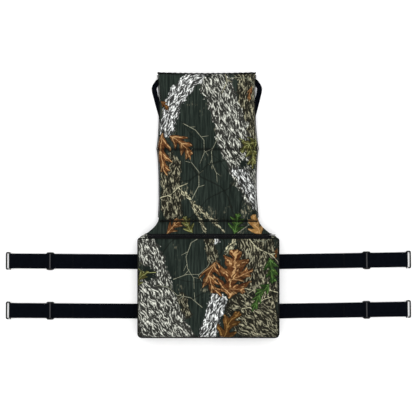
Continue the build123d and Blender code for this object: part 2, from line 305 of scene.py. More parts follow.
def limb_group():
    """Lays one bark-covered limb over the colour below it: light flecks on black, along the limb."""
    inputs = dict(SEGMENT, Below="Color", Half="Float", Bark="Color", Dark="Float")
    tree, graph, given, result = new_group("limb", inputs, {"Colour": "Color"})
    distance, along, across = segment_parts(graph, given)
    wobble = graph.noise(given["Point"], 32.0, 4.0, 0.65)
    ragged = graph.math("MULTIPLY_ADD", wobble, 0.055, graph.minus(distance, 0.027))
    inside = graph.step(ragged, graph.minus(given["Half"], 0.0025), given["Half"], 1.0, 0.0)
    bent = graph.math("MULTIPLY_ADD", graph.noise(given["Point"], 13.0, 2.0), 0.035, across)
    fleck = graph.math("MAXIMUM", flecks(graph, along, bent, 12.0, 185.0, 0.22),
                       flecks(graph, along, bent, -16.0, 250.0, 0.26))
    patch = graph.noise(graph.join(graph.times(along, 0.5), bent), 42.0, 2.0, 0.5)
    edge = graph.step(distance, graph.times(given["Half"], 0.35), given["Half"], 0.0, 0.035)
    line = graph.plus(graph.math("MULTIPLY_ADD", patch, -0.20, 0.110), given["Dark"])
    line = graph.plus(line, edge)
    light = graph.step(fleck, line, graph.plus(line, 0.12))
    tone = graph.step(graph.noise(given["Point"], 150.0, 2.0, 0.6), 0.3, 0.7, 0.60, 1.60)
    lit = graph.scaled(given["Bark"], tone)
    shadow = graph.scaled(given["Bark"], 0.05)
    barked = graph.mix(light, shadow, lit)
    graph.feed(result["Colour"], graph.mix(inside, given["Below"], barked))
    return tree


def leaf_group():
    """Lays one lobed leaf over the colour below it: a dark body with streaks and light veins."""
    inputs = dict(SEGMENT, Below="Color", Width="Float", Dark="Color", Light="Color",
                  Lobes="Float", Curl="Float")
    tree, graph, given, result = new_group("leaf", inputs, {"Colour": "Color"})
    _, along, across = segment_parts(graph, given)
    length = given["Length"]
    u = graph.math("DIVIDE", along, length)
    warp = graph.noise(given["Point"], 30.0, 3.0, 0.6)
    arc = graph.times(graph.math("SINE", graph.times(u, math.pi)), given["Curl"])
    v = graph.minus(graph.math("DIVIDE", across, given["Width"]), arc)
    v = graph.plus(v, graph.math("MULTIPLY_ADD", warp, 0.7, -0.35))
    side = graph.math("ABSOLUTE", v)
    swept = graph.minus(u, graph.times(side, 0.38))
    turns = graph.times(given["Lobes"], math.tau)
    wave = graph.math("SINE", graph.times(swept, turns))
    lobe = graph.math("MULTIPLY_ADD", wave, 0.34, 0.64)
    arch = graph.math("SINE", graph.times(graph.times(u, 0.97, clamp=True), math.pi))
    reach = graph.times(graph.math("POWER", arch, 0.62), lobe)
    margin = graph.minus(reach, side)
    inside = graph.step(margin, -0.01, 0.03)
    streak_at = graph.join(graph.times(swept, 16.0), graph.times(side, 2.2), length)
    streak = graph.noise(streak_at, 1.6, 3.0, 0.6)
    blotch = graph.noise(given["Point"], 75.0, 2.0, 0.5)
    mid = graph.vector("MULTIPLY", given["Light"], (0.34, 0.26, 0.21))
    body = graph.mix(graph.step(streak, 0.42, 0.66), given["Dark"], mid)
    rib = graph.step(side, 0.01, 0.055, 1.0, 0.0)
    vein = graph.times(graph.step(wave, 0.86, 0.99), graph.step(blotch, 0.40, 0.55))
    sheen = graph.times(graph.step(streak, 0.56, 0.70), graph.step(blotch, 0.46, 0.62))
    glow = graph.math("MAXIMUM", graph.math("MAXIMUM", rib, vein), sheen)
    skin = graph.mix(graph.times(glow, 0.85), body, given["Light"])
    fold = graph.times(graph.step(margin, 0.0, 0.14, 0.45, 1.0), graph.step(v, -0.5, 0.3, 0.6, 1.0))
    halo = graph.step(margin, -0.15, 0.0, 0.0, 0.75)
    below = graph.mix(halo, given["Below"], rgb(0.003, 0.005, 0.004))
    graph.feed(result["Colour"], graph.mix(inside, below, graph.scaled(skin, fold)))
    return tree


def ground_group():
    """The print's dark ground: faint upright grain, and scattered dim litter."""
    tree, graph, given, result = new_group("ground", {"Point": "Vector"}, {"Colour": "Color"})
    x, y = graph.split(given["Point"])
    upright = graph.join(x, graph.times(y, 0.06))
    grain = graph.noise(upright, 190.0, 3.0, 0.65)
    broad = graph.noise(given["Point"], 12.0, 3.0, 0.6)
    base = graph.mix(graph.step(grain, 0.38, 0.68), GROUND, GROUND_LIGHT)
    short = graph.noise(graph.join(x, graph.times(y, 0.25)), 240.0, 3.0, 0.6)
    litter = graph.times(graph.step(broad, 0.55, 0.68), graph.step(short, 0.52, 0.6))
    graph.feed(result["Colour"], graph.mix(graph.times(litter, 0.75), base, OLIVE_BARK))
    return tree


# The print on the backrest and its flap, and the print on the seat. Places are metres on the cloth.
# A limb is (start, end, half width, bark, how much of it is cracks).
BACK_LIMBS = [
    ((0.128, 0.46), (0.138, 0.19), 0.040, OLIVE_BARK, 0.53),
    ((-0.125, 0.13), (-0.120, -0.02), 0.036, OLIVE_BARK, 0.53),
    ((0.005, 0.45), (0.082, 0.225), 0.052, GREY_BARK, 0.525),
    ((0.062, 0.215), (0.150, 0.03), 0.040, GREY_BARK, 0.525),
    ((0.105, 0.10), (0.165, 0.005), 0.024, WHITE_BARK, 0.50),
    ((-0.025, 0.44), (-0.100, 0.35), 0.031, WHITE_BARK, 0.50),
    ((-0.100, 0.36), (-0.138, 0.245), 0.027, WHITE_BARK, 0.50),
    ((-0.095, 0.055), (-0.022, -0.025), 0.0075, PALE_BRANCH, 0.49),
    ((-0.030, -0.015), (0.048, -0.085), 0.008, PALE_BRANCH, 0.49),
    ((-0.050, -0.005), (-0.006, -0.095), 0.0045, PALE_BRANCH, 0.49),
]
SEAT_LIMBS = [
    ((0.150, -0.09), (0.165, -0.30), 0.062, OLIVE_BARK, 0.53),
    ((0.120, -0.350), (0.215, -0.43), 0.070, OLIVE_BARK, 0.53),
    ((0.005, -0.09), (0.014, -0.185), 0.021, OLIVE_BARK, 0.53),
    ((-0.085, -0.30), (-0.070, -0.35), 0.018, OLIVE_BARK, 0.53),
    ((-0.218, -0.09), (-0.150, -0.25), 0.037, GREY_BARK, 0.525),
    ((-0.215, -0.305), (-0.110, -0.45), 0.074, GREY_BARK, 0.525),
    ((-0.155, -0.235), (-0.105, -0.36), 0.026, GREY_BARK, 0.525),
    ((0.030, -0.310), (-0.010, -0.45), 0.030, WHITE_BARK, 0.50),
    ((0.090, -0.095), (0.064, -0.155), 0.0125, PALE_BRANCH, 0.49),
    ((0.028, -0.095), (0.022, -0.125), 0.009, WHITE_BARK, 0.50),
]
# A grown twig is (root, heading in degrees, first length, width, colour, forks). It branches by chance.
BACK_SHOOTS = [
    ((-0.055, 0.015), 62, 0.052, 0.0012, TWIG, 4),
    ((-0.082, 0.262), -28, 0.045, 0.0011, TWIG, 3),
    ((0.030, 0.215), -115, 0.048, 0.0010, TWIG, 3),
    ((0.168, 0.215), -160, 0.040, 0.0011, OLIVE_LEAF_LIGHT, 1),
    ((0.165, 0.385), 150, 0.050, 0.0011, TWIG, 2),
    ((0.052, 0.445), -80, 0.050, 0.0010, PALE_BRANCH, 1),
    ((-0.165, 0.020), 15, 0.045, 0.0016, PALE_BRANCH, 2),
    ((0.095, -0.092), 35, 0.045, 0.0010, TWIG, 1),
]
SEAT_SHOOTS = [
    ((-0.012, -0.098), -150, 0.050, 0.0012, TWIG, 4),
    ((-0.112, -0.240), 20, 0.045, 0.0010, TWIG, 3),
    ((-0.020, -0.330), 140, 0.048, 0.0011, TWIG, 3),
    ((0.120, -0.098), -50, 0.055, 0.0019, PALE_BRANCH, 3),
    ((0.232, -0.285), 165, 0.050, 0.0015, PALE_BRANCH, 2),
    ((0.215, -0.100), -150, 0.040, 0.0012, TWIG, 2),
    ((0.105, -0.335), 10, 0.045, 0.0013, PALE_BRANCH, 2),
    ((-0.232, -0.205), -25, 0.035, 0.0010, OLIVE_LEAF_LIGHT, 1),
]
# A leaf is (base, tip, half width, dark colour, light colour, lobes, curl).
BACK_LEAVES = [
    ((-0.150, 0.232), (-0.135, 0.098), 0.034, RUST, RUST_LIGHT, 3.0, -0.35),
    ((-0.125, 0.222), (-0.060, 0.148), 0.030, RUST, RUST_LIGHT, 3.0, 0.45),
    ((-0.160, 0.335), (-0.130, 0.305), 0.011, RUST, OCHRE_LIGHT, 2.0, 0.3),
    ((0.170, 0.205), (0.105, 0.172), 0.027, OLIVE_LEAF, OLIVE_LEAF_LIGHT, 2.6, -0.3),
    ((0.138, 0.190), (0.142, 0.118), 0.024, OLIVE_LEAF, OLIVE_LEAF_LIGHT, 2.2, 0.2),
    ((0.083, -0.095), (0.098, -0.030), 0.030, LEAF_GREEN, LEAF_GREEN_LIGHT, 2.7, 0.0),
    ((0.168, -0.098), (0.146, -0.034), 0.030, OCHRE_LIGHT, RUST_LIGHT, 2.6, 0.1),
    ((-0.135, -0.095), (-0.080, -0.052), 0.020, RUST, RUST_LIGHT, 2.4, 0.3),
    ((-0.052, -0.092), (-0.078, -0.040), 0.022, OLIVE_LEAF, OLIVE_LEAF_LIGHT, 2.6, 0.1),
    ((0.142, 0.385), (0.132, 0.335), 0.009, RUST, RUST_LIGHT, 2.0, -0.3),
]
SEAT_LEAVES = [
    ((0.026, -0.180), (0.040, -0.292), 0.036, RUST, RUST_LIGHT, 3.2, -0.85),
    ((0.066, -0.302), (0.092, -0.148), 0.067, RUST, RUST_LIGHT, 3.6, 0.0),
    ((0.072, -0.245), (0.142, -0.212), 0.024, RUST, RUST_LIGHT, 2.2, 0.1),
    ((0.066, -0.270), (0.118, -0.280), 0.016, RUST, RUST_LIGHT, 1.8, 0.2),
    ((0.050, -0.450), (0.096, -0.345), 0.036, OCHRE, OCHRE_LIGHT, 2.6, 0.35),
    ((0.195, -0.172), (0.206, -0.252), 0.030, LEAF_GREEN, LEAF_GREEN_LIGHT, 2.8, 0.15),
    ((0.196, -0.255), (0.152, -0.288), 0.020, LEAF_GREEN, LEAF_GREEN_LIGHT, 2.2, 0.2),
    ((0.168, -0.286), (0.143, -0.342), 0.017, LEAF_GREEN, LEAF_GREEN_LIGHT, 2.2, -0.2),
    ((-0.240, -0.268), (-0.194, -0.215), 0.020, OLIVE_LEAF, OLIVE_LEAF_LIGHT, 2.4, 0.3),
    ((0.222, -0.140), (0.214, -0.172), 0.008, RUST, OCHRE_LIGHT, 1.8, 0.0),
]
# A hollow is (centre, radius): a dark gap where the limbs have none.
SEAT_HOLLOWS = [((-0.196, -0.222), 0.030), ((-0.182, -0.171), 0.006)]
BACK_HOLLOWS = [((-0.004, 0.418), 0.010), ((0.112, 0.130), 0.016)]


def weave(graph, point, threads):
    """The fine over-and-under of a plain weave, from -1 to 1."""
    x, y = graph.split(point)
    across = graph.math("SINE", graph.times(x, threads * math.pi))
    along = graph.math("SINE", graph.times(y, threads * math.pi))
    return graph.times(across, along)


def cloth_material(name, roughness=0.85, gloss=0.05, sheen=0.02):
    return new_material(name, {"Roughness": roughness, "Specular IOR Level": gloss,
                               "Sheen Weight": sheen, "Sheen Roughness": 0.5})


def grow_twigs(shoots, seed):
    """Grows each shoot into straight lengths, forking by chance at each end."""
    chance = random.Random(seed)
    grown = []
    for root, heading, length, width, tint, forks in shoots:
        tips = [(Vector(root), heading, length, width, forks)]
        while tips:
            start, angle, long, wide, left = tips.pop(0)
            end = tip_of(start, angle, long)
            grown.append((tuple(start), tuple(end), wide, tint))
            if left > 0:
                lean = chance.uniform(18, 42) * chance.choice((-1, 1))
                tips.append((end, angle + lean, long * chance.uniform(0.75, 1.0), wide * 0.86, left - 1))
                middle = start.lerp(end, chance.uniform(0.55, 0.95))
                tip = tip_of(middle, angle - lean * 1.5, long * chance.uniform(0.35, 0.65))
                grown.append((tuple(middle), tuple(tip), wide * 0.75, tint))
    return grown


def tip_of(start, angle_deg, length):
    turn = math.radians(angle_deg)
    return start + Vector((math.cos(turn), math.sin(turn))) * length


def camouflage(name, groups, limbs, hollows, shoots, leaves, seed, fold_shade_lines=()):
    """The printed cloth: ground, limbs, hollows, twigs and leaves, one over the other, and painted shade
    along its folds.
    """
    mat, graph, shader = cloth_material(name)
    at = graph.cloth_at()
    colour = graph.group(groups["ground"], Point=at).outputs["Colour"]
    for start, end, half, bark, dark in limbs:
        made = graph.group(groups["limb"], Point=at, Below=colour, Half=half, Bark=bark, Dark=dark,
                           **segment_inputs(start, end))
        colour = made.outputs["Colour"]
    ragged = graph.math("MULTIPLY_ADD", graph.noise(at, 75.0, 4.0, 0.7), 0.06, -0.03)
    for centre, radius in hollows:
        distance = graph.plus(graph.vector("DISTANCE", at, (*centre, 0)), ragged)
        dark = graph.step(distance, radius * 0.7, radius, 1.0, 0.0)
        colour = graph.mix(dark, colour, GROUND)
    nearest = {}
    for start, end, width, tint in grow_twigs(shoots, seed):
        given = segment_inputs(start, end)
        taper = 0.35 * width / given["Length"]
        made = graph.group(groups["twig"], Point=at, Width=width, Taper=taper, **given)
        gap = made.outputs["Gap"]
        nearest[tint] = graph.math("MINIMUM", nearest[tint], gap) if tint in nearest else gap
    for tint, gap in nearest.items():
        colour = lay_twigs(graph, at, colour, gap, tint)
    for base, tip, width, shade, light, lobes, curl in leaves:
        made = graph.group(groups["leaf"], Point=at, Below=colour, Width=width, Dark=shade, Light=light,
                           Lobes=lobes, Curl=curl, **segment_inputs(base, tip))
        colour = made.outputs["Colour"]
    # Painted shade: the colour is darkened to half within a few millimetres of each fold line, for the shade
    # in the crease.
    for fold in fold_shade_lines:
        off = graph.math("ABSOLUTE", graph.minus(graph.split(at)[1], fold))
        colour = graph.scaled(colour, graph.step(off, 0.0010, 0.0060, 0.50, 1.0))
    graph.feed(shader.inputs["Base Color"], colour)
    graph.feed(shader.inputs["Normal"], graph.bump(weave(graph, at, 1400), 0.35))
    return mat


def plain_cloth(name, colour, light, threads, bump=0.5):
    """A plain woven cloth of one colour, a little uneven, with its weave in bump and colour."""
    mat, graph, shader = cloth_material(name)
    at = graph.cloth_at()
    woven = weave(graph, at, threads)
    thread = graph.step(woven, -0.8, 0.8, 0.25, 0.75)
    worn = graph.plus(thread, graph.step(graph.noise(at, 45.0, 4.0, 0.6), 0.4, 0.7, -0.25, 0.25), clamp=True)
    graph.feed(shader.inputs["Base Color"], graph.mix(worn, colour, light))
    graph.feed(shader.inputs["Normal"], graph.bump(woven, bump))
    return mat


def webbing_material():
    """Flat webbing: chevron ribs along its length."""
    mat, graph, shader = cloth_material("webbing", 0.8, 0.03, 0.0)
    at = graph.cloth_at()
    along, across = graph.split(at)
    zigzag = graph.math("PINGPONG", across, 0.003)
    rib = graph.math("SINE", graph.times(graph.plus(along, zigzag), 3800.0))
    cord = graph.math("SINE", graph.times(across, 5200.0))
    height = graph.math("MULTIPLY_ADD", cord, 0.4, rib)
    worn = graph.noise(at, 70.0, 4.0, 0.65)
    share = graph.times(graph.step(height, -1.2, 1.3), graph.step(worn, 0.3, 0.75, 0.5, 1.0))
    colour = graph.mix(share, rgb(0.0001, 0.0004, 0.0014), rgb(0.0036, 0.0052, 0.0095))
    graph.feed(shader.inputs["Base Color"], colour)
    graph.feed(shader.inputs["Normal"], graph.bump(height, 0.55))
    return mat


def hard_material(name, colour, worn_colour, metallic, roughness, gloss=0.5, scale=900.0):
    """Coated or bare metal, or moulded plastic: fine grain, rubbed lighter along its edges."""
    mat, graph, shader = new_material(name, {"Metallic": metallic, "Specular IOR Level": gloss})
    place = graph.node("ShaderNodeTexCoord").outputs["Object"]
    grain = graph.noise(place, scale, 4.0, 0.6)
    blotch = graph.noise(place, scale / 9, 3.0, 0.6)
    edge = graph.node("ShaderNodeNewGeometry").outputs["Pointiness"]
    rubbed = graph.plus(graph.step(edge, 0.52, 0.62), graph.step(blotch, 0.58, 0.75, 0.0, 0.35), clamp=True)
    graph.feed(shader.inputs["Base Color"], graph.mix(rubbed, colour, worn_colour))
    graph.feed(shader.inputs["Roughness"], graph.step(grain, 0.3, 0.7, roughness - 0.08, roughness + 0.12))
    graph.feed(shader.inputs["Normal"], graph.bump(grain, 0.15, 0.0002))
    return mat


def make_materials():
    groups = {"ground": ground_group(), "limb": limb_group(), "leaf": leaf_group(), "twig": twig_group()}
    return {
        "back_print": camouflage("back_print", groups, BACK_LIMBS, BACK_HOLLOWS, BACK_SHOOTS, BACK_LEAVES, 11,
                                 fold_shade_lines=(CREASE_Y,)),
        "seat_print": camouflage("seat_print", groups, SEAT_LIMBS, SEAT_HOLLOWS, SEAT_SHOOTS,
                                 SEAT_LEAVES, 23),
        "backing": plain_cloth("backing", rgb(0.010, 0.011, 0.010), rgb(0.028, 0.030, 0.028), 1100),
        "binding": plain_cloth("binding", rgb(0.0022, 0.0026, 0.0022), rgb(0.010, 0.011, 0.009), 1500),
        "zip_tape": plain_cloth("zip_tape", rgb(0.0012, 0.0012, 0.0018), rgb(0.006, 0.006, 0.008), 1900),
        "thread": plain_cloth("thread", rgb(0.004, 0.005, 0.006), rgb(0.018, 0.019, 0.019), 3000, 0.3),
        "webbing": webbing_material(),
        "steel": hard_material("coated_steel", rgb(0.0012, 0.0013, 0.0014), rgb(0.007, 0.007, 0.008),
                               0.0, 0.34, 0.10),
        # The slider's centre bar: glossier than the frame, and its lighter base colour is painted highlight
        # for the light the bar catches.
        "highlit_bar_steel": hard_material("highlit_bar_steel", rgb(0.006, 0.006, 0.007), rgb(0.026, 0.026, 0.030),
                                      0.0, 0.33, 0.32),
        "zinc": hard_material("bare_zinc", rgb(0.17, 0.17, 0.17), rgb(0.36, 0.36, 0.35), 0.9, 0.40),
        "nylon": hard_material("nylon_coil", rgb(0.003, 0.003, 0.0035), rgb(0.012, 0.012, 0.013),
                               0.0, 0.45, 0.25),
    }


# ---------------------------------------------------------------- mesh helpers

def mesh_object(name, verts, faces, mat):
    mesh = bpy.data.meshes.new(name)
    mesh.from_pydata([tuple(v) for v in verts], [], faces)
    mesh.validate()
    mesh.update()
    made = new_object(name, mesh)
    mesh.materials.append(mat)
    mesh.polygons.foreach_set("use_smooth", [True] * len(mesh.polygons))
    return made


def set_cloth_at(piece, places):
    """Writes where each vertex lies on the flat cloth."""
    attribute = piece.data.attributes.get("cloth_at")
    attribute = attribute or piece.data.attributes.new("cloth_at", "FLOAT_VECTOR", "POINT")
    flat = np.asarray(places, np.float32).reshape(-1)
    attribute.data.foreach_set("vector", flat)


def coordinates(mesh):
    co = np.zeros(len(mesh.vertices) * 3)
    mesh.vertices.foreach_get("co", co)
    return co.reshape(-1, 3)


def normals(mesh):
    found = np.zeros(len(mesh.vertices) * 3)
    mesh.vertices.foreach_get("normal", found)
    return found.reshape(-1, 3)


def move_vertices(piece, co):
    piece.data.vertices.foreach_set("co", co.ravel())
    piece.data.update()


def unroll(piece, top_z):
    """Lays the print flat over the top and carries it down the sides."""
    co = coordinates(piece.data)
    nor = normals(piece.data)
    drop = np.clip(top_z - co[:, 2], 0, None)
    flat = nor[:, :2] / np.maximum(np.linalg.norm(nor[:, :2], axis=1), 1e-6)[:, None]
    side = np.clip(1.25 - np.abs(nor[:, 2]) * 1.25, 0, 1)
    places = np.zeros_like(co)
    places[:, :2] = co[:, :2] + flat * (drop * side)[:, None]
    set_cloth_at(piece, places)


def rounded_section(width, thickness, steps=3):
    """A flat band's cross-section, with rounded selvedges."""
    half = thickness / 2
    points = []
    for sign in (1, -1):
        for i in range(steps + 1):
            turn = math.pi / 2 - math.pi * i / steps
            points.append((sign * (width / 2 - half + half * math.cos(turn)), sign * half * math.sin(turn)))
    return points


def round_section(radius, steps=8):
    return [(radius * math.cos(math.tau * i / steps), radius * math.sin(math.tau * i / steps))
            for i in range(steps)]


def split_wide(section, parts=8):
    """Adds points across a band's two wide faces, so that it can dip and curl."""
    made = []
    for (x0, y0), (x1, y1) in zip(section, section[1:] + section[:1]):
        made.append((x0, y0))
        if abs(x1 - x0) > 0.3 * max(abs(p[0]) for p in section):
            for i in range(1, parts):
                share = i / parts
                made.append((x0 + (x1 - x0) * share, y0 + (y1 - y0) * share))
    return made


def sweep(name, stations, section, mat, closed=False):
    """Carries a section along stations of (centre, wide axis, thin axis). Open ends are capped."""
    verts, places = [], []
    travel = 0.0
    last = None
    for centre, wide, thin in stations:
        centre, wide, thin = Vector(centre), Vector(wide), Vector(thin)
        if last is not None:
            travel += (centre - last).length
        last = centre
        for s, t in section:
            verts.append(centre + wide * s + thin * t)
            places.append((travel, s + t, 0))
    count = len(section)
    rings = len(stations)
    faces = []
    for i in range(rings if closed else rings - 1):
        for j in range(count):
            a = i * count + j
            b = i * count + (j + 1) % count
            c = ((i + 1) % rings) * count + (j + 1) % count
            d = ((i + 1) % rings) * count + j
            faces.append((a, d, c, b))
    if not closed:
        faces.append(tuple(range(count)))
        faces.append(tuple(reversed(range((rings - 1) * count, rings * count))))
    made = mesh_object(name, verts, faces, mat)
    set_cloth_at(made, places)
    outward(made)
    return made


def outward(piece, weld=None):
    """Turns every face outward. Vertices closer together than weld are joined first."""
    bm = bmesh.new()
    bm.from_mesh(piece.data)
    if weld:
        bmesh.ops.remove_doubles(bm, verts=bm.verts, dist=weld)
    bmesh.ops.recalc_face_normals(bm, faces=bm.faces)
    bm.to_mesh(piece.data)
    bm.free()


def join_as(name, pieces):
    """Joins several small meshes into one piece."""
    for o in bpy.context.selected_objects:
        o.select_set(False)
    for o in pieces:
        o.select_set(True)
    bpy.context.view_layer.objects.active = pieces[0]
    bpy.ops.object.join()
    joined = bpy.context.view_layer.objects.active
    joined.name = name
    joined.data.name = name
    return joined


def apply_modifiers(piece):
    bpy.context.view_layer.objects.active = piece
    for modifier in list(piece.modifiers):
        bpy.ops.object.modifier_apply(modifier=modifier.name)


def subdivided(piece):
    modifier = piece.modifiers.new("smooth", "SUBSURF")
    modifier.levels = modifier.render_levels = 1
    with bpy.context.temp_override(object=piece, active_object=piece):
        bpy.ops.object.modifier_apply(modifier=modifier.name)


def stitches(name, route, mat, pitch=4.2 * MM, length=2.9 * MM, radius=0.42 * MM, body=None):
    """A row of thread stitches along a route of (point, normal) pairs."""
    points = [Vector(p) for p, _ in route]
    ups = [Vector(n).normalized() for _, n in route]
    verts, faces, places = [], [], []
    travel, due = 0.0, pitch / 2
    for i in range(len(points) - 1):
        run = points[i + 1] - points[i]
        long = run.length
        if long < 1e-9:
            continue
        heading = run / long
        while due <= travel + long:
            share = (due - travel) / long
            middle = points[i].lerp(points[i + 1], share)
            up = ups[i].lerp(ups[i + 1], share).normalized()
            side = heading.cross(up).normalized()
            base = len(verts)
            shape = ((-0.5, 0.35, -0.4), (-0.28, 1.0, 0.75), (0.28, 1.0, 0.75), (0.5, 0.35, -0.4))
            for along, wide, lift in shape:
                for turn in range(6):
                    a = math.tau * turn / 6
                    offset = side * math.cos(a) * radius * wide + up * math.sin(a) * radius * wide
                    verts.append(middle + heading * along * length + offset + up * radius * lift)
                    places.append((along * length, a * radius, 0))
            for ring in range(3):
                for turn in range(6):
                    a = base + ring * 6 + turn
                    b = base + ring * 6 + (turn + 1) % 6
                    faces.append((a, a + 6, b + 6, b))
            faces.append(tuple(base + k for k in range(6)))
            faces.append(tuple(base + 18 + k for k in reversed(range(6))))
            due += pitch
        travel += long
    made = mesh_object(name, verts, faces, mat)
    set_cloth_at(made, places)
    if body:
        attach(made, body)
    return made


def puff(piece, pinned, pressure, cap, frames=20, stiffness=12.0):
    """Inflates a closed cover with Blender's cloth. pinned vertices hold still, as sewn lines do, and no
    vertex moves further than cap."""
    rest = coordinates(piece.data)
    group = piece.vertex_groups.new(name="sewn")
    for weight in sorted(set(np.round(pinned[pinned > 0], 2))):
        chosen = np.nonzero(np.round(pinned, 2) == weight)[0].tolist()
        group.add(chosen, float(weight), "REPLACE")
    cloth = piece.modifiers.new("cloth", "CLOTH")
    cloth.settings.use_pressure = True
    cloth.settings.uniform_pressure_force = pressure
    cloth.settings.effector_weights.gravity = 0
    cloth.settings.tension_stiffness = stiffness
    cloth.settings.compression_stiffness = stiffness
    cloth.settings.bending_stiffness = 0.6
    cloth.settings.mass = 0.3
    cloth.settings.vertex_group_mass = "sewn"
    cloth.settings.quality = 5
    cloth.point_cache.frame_start = 1
    cloth.point_cache.frame_end = frames
    for step in range(1, frames + 1):
        bpy.context.scene.frame_set(step)
    graph = bpy.context.evaluated_depsgraph_get()
    puffed = coordinates(piece.evaluated_get(graph).data)
    piece.modifiers.remove(cloth)
    piece.vertex_groups.remove(group)
    bpy.context.scene.frame_set(1)
    move = puffed - rest
    size = np.linalg.norm(move, axis=1)
    limit = cap * np.tanh(size / cap)
    move *= (limit / np.maximum(size, 1e-9))[:, None]
    move_vertices(piece, rest + move)


def pucker(co, scale, amount, seed):
    """A smooth random height for each point, for the small unevenness of stuffed cloth."""
    return np.array([noise.noise(Vector((x, y, z + seed)) * scale) for x, y, z in co]) * amount


# ---------------------------------------------------------------- seat cushion

SEAT_LOW, SEAT_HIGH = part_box("seat_bottom_panel")[0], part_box("seat_top_panel")[1]
SEAT_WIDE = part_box("seat_bottom_panel")[1].x
SEAT_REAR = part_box("seat_bottom_panel")[1].y
REAR_DRAW = 0.015       # how far the rear corners are drawn in along the sides
REAR_HALF = 0.204       # half the rear edge between those corners
CORNER_RADIUS = 0.012
WELT_RADIUS = 0.0019


def seat_outline(inset, per_corner=6):
    """The cushion's outline from above, anticlockwise from its front left corner, in metres."""
    low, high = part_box("seat_bottom_panel")
    corners = [(low.x, low.y), (high.x, low.y), (high.x, high.y - REAR_DRAW), (REAR_HALF, high.y),
               (-REAR_HALF, high.y), (low.x, high.y - REAR_DRAW)]
    path = []
    for i, corner in enumerate(corners):
        here = Vector(corner)
        before = (Vector(corners[i - 1]) - here).normalized()
        after = (Vector(corners[(i + 1) % len(corners)]) - here).normalized()
        half = math.acos(max(-1, min(1, before.dot(after)))) / 2
        reach = CORNER_RADIUS / math.tan(half)
        centre = here + (before + after).normalized() * (CORNER_RADIUS / math.sin(half))
        first, last = here + before * reach, here + after * reach
        a0 = math.atan2(first.y - centre.y, first.x - centre.x)
        a1 = math.atan2(last.y - centre.y, last.x - centre.x)
        if a1 < a0:
            a1 += math.tau
        for k in range(per_corner + 1):
            a = a0 + (a1 - a0) * k / per_corner
            path.append((centre.x + (CORNER_RADIUS - inset) * math.cos(a),
                         centre.y + (CORNER_RADIUS - inset) * math.sin(a)))
    return path


def even_loop(path, spacing):
    """A closed path's points, spaced evenly."""
    points = np.array(path + path[:1])
    steps = np.linalg.norm(np.diff(points, axis=0), axis=1)
    travel = np.concatenate([[0], np.cumsum(steps)])
    count = max(8, int(travel[-1] / spacing))
    at = np.linspace(0, travel[-1], count, endpoint=False)
    return [(np.interp(t, travel, points[:, 0]), np.interp(t, travel, points[:, 1])) for t in at]


def edge_distance(co, outline):
    """How far each point lies inside the outline, seen from above."""
    loop = np.array(outline + outline[:1])
    best = np.full(len(co), 1e9)
    for start, end in zip(loop, loop[1:]):
        span = end - start
        share = np.clip(((co[:, :2] - start) @ span) / max(span @ span, 1e-12), 0, 1)
        gap = co[:, :2] - start - share[:, None] * span
        best = np.minimum(best, np.linalg.norm(gap, axis=1))
    return best


def fill_box(piece, low, high):
    """Stretches a piece a little so that it fills a box exactly."""
    co = coordinates(piece.data)
    low, high = np.array(low), np.array(high)
    was_low, was_high = co.min(0), co.max(0)
    co = low + (co - was_low) / (was_high - was_low) * (high - low)
    move_vertices(piece, co)


def make_seat(mats):
    """The stuffed cushion: the foam block remeshed, inflated and crowned."""
    cushion = new_object("seat_cushion", frame["nodes"]["seat_foam"].data.copy())
    remesh = cushion.modifiers.new("remesh", "REMESH")
    remesh.mode = "VOXEL"
    remesh.voxel_size = 0.0055
    apply_modifiers(cushion)
    top, bottom = SEAT_HIGH.z, SEAT_LOW.z
    fill_box(cushion, (SEAT_LOW.x + 0.0004, SEAT_LOW.y + 0.0004, bottom + 0.0002),
             (SEAT_WIDE - 0.0004, SEAT_REAR - 0.0006, top - 0.0006))
    co = coordinates(cushion.data)
    outline = seat_outline(0)
    inside = edge_distance(co, outline)
    near_edge = inside < 0.012
    at_top = near_edge & (co[:, 2] > top - 0.008)
    at_bottom = co[:, 2] < bottom + 0.006
    at_rear = (co[:, 1] > SEAT_REAR - 0.016) & (co[:, 2] > top - 0.026)
    pinned = np.where(at_top | at_bottom | at_rear, 1.0, 0.0)
    puff(cushion, pinned, 4.0, 0.004)
    co = coordinates(cushion.data)
    nor = normals(cushion.data)
    # The crown over the foam, and small puckers that fade away from the seams.
    rise = np.clip(inside / 0.09, 0, 1)
    crown = 0.0035 * (1 - (1 - rise) ** 2) * (nor[:, 2] > 0.5)
    fade = np.exp(-inside / 0.02) * 0.8 + 0.35
    wrinkle = pucker(co, 38.0, 0.0011, 3.0) * fade + pucker(co, 13.0, 0.0012, 7.0)
    sides = 1 - np.abs(nor[:, 2])
    middle = np.sin(np.clip((co[:, 2] - bottom) / (top - bottom), 0, 1) * math.pi)
    bulge = sides * middle * (0.0018 + pucker(co, 21.0, 0.0016, 11.0))
    bulge[at_rear] = 0
    wrinkle[at_bottom] = 0
    crown[at_bottom] = 0
    calm = np.clip((SEAT_REAR - 0.013 - co[:, 1]) / 0.022, 0, 1)
    wrinkle *= calm
    crown *= calm
    co += nor * (wrinkle + bulge)[:, None]
    co[:, 2] += crown
    move_vertices(cushion, co)
    subdivided(cushion)
    cushion.data.materials.clear()
    cushion.data.materials.append(mats["seat_print"])
    cushion.data.materials.append(mats["backing"])
    for face in cushion.data.polygons:
        face.use_smooth = True
        face.material_index = 1 if face.center.z < bottom + 0.004 and face.normal.z < -0.5 else 0
    unroll(cushion, top)
    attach(cushion, "seat")
    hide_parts("seat_top_panel", "seat_bottom_panel", "seat_boxing", "seat_foam")
    sew_seat(mats, cushion)


